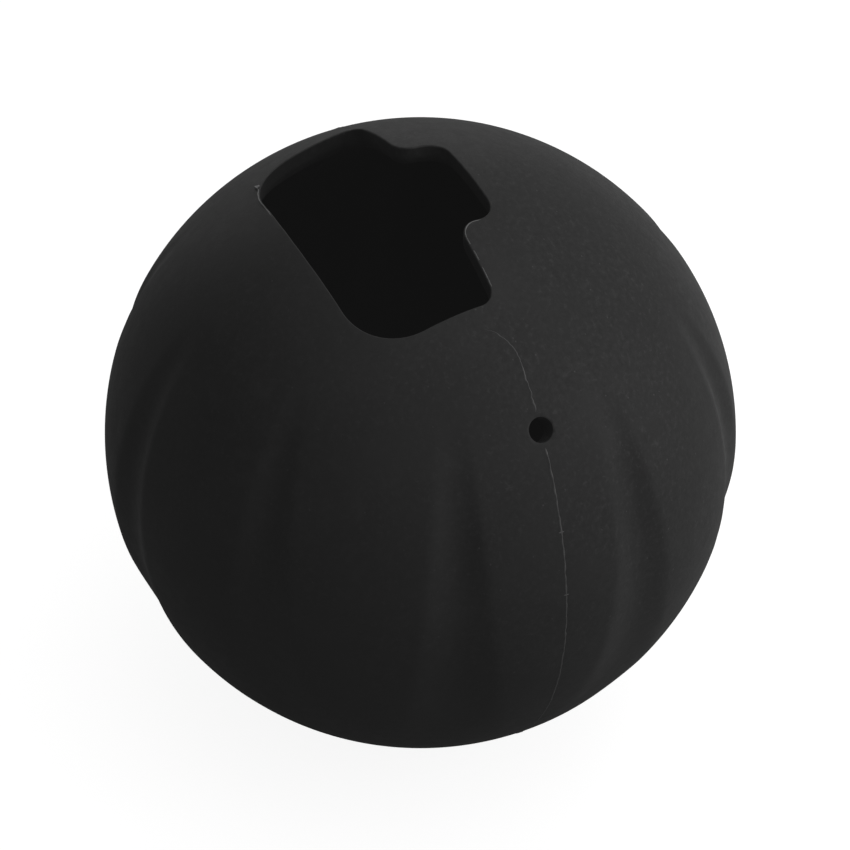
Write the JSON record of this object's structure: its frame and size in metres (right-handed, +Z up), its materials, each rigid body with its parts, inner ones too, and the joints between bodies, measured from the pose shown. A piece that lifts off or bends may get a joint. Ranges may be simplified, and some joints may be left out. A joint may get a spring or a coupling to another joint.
{
  "type": "case opening friction ball",
  "caption": "Hollow fluted rubber ball that grips a screwed watch case back by friction so it can be unscrewed; keyed opening on top, vent hole and flat foot.",
  "frame": {"origin": "centre of the flat foot, at the bottom of the ball's bounding box", "axes": "+Z up through the middle of the opening, +X in the seam plane on the vent hole's side, -Y towards the half that carries the long slot"},
  "size_m": [0.0702, 0.0694, 0.0685],
  "materials": {
    "black_rubber": "matte moulded",
    "rubber_cement": "satin, slightly uneven"
  },
  "bodies": {
    "root": {"slotted_half_shell": "black_rubber", "notched_half_shell": "black_rubber", "seam_cement_vent_to_opening": "rubber_cement", "seam_cement_round_underside": "rubber_cement"}
  },
  "joints": []
}
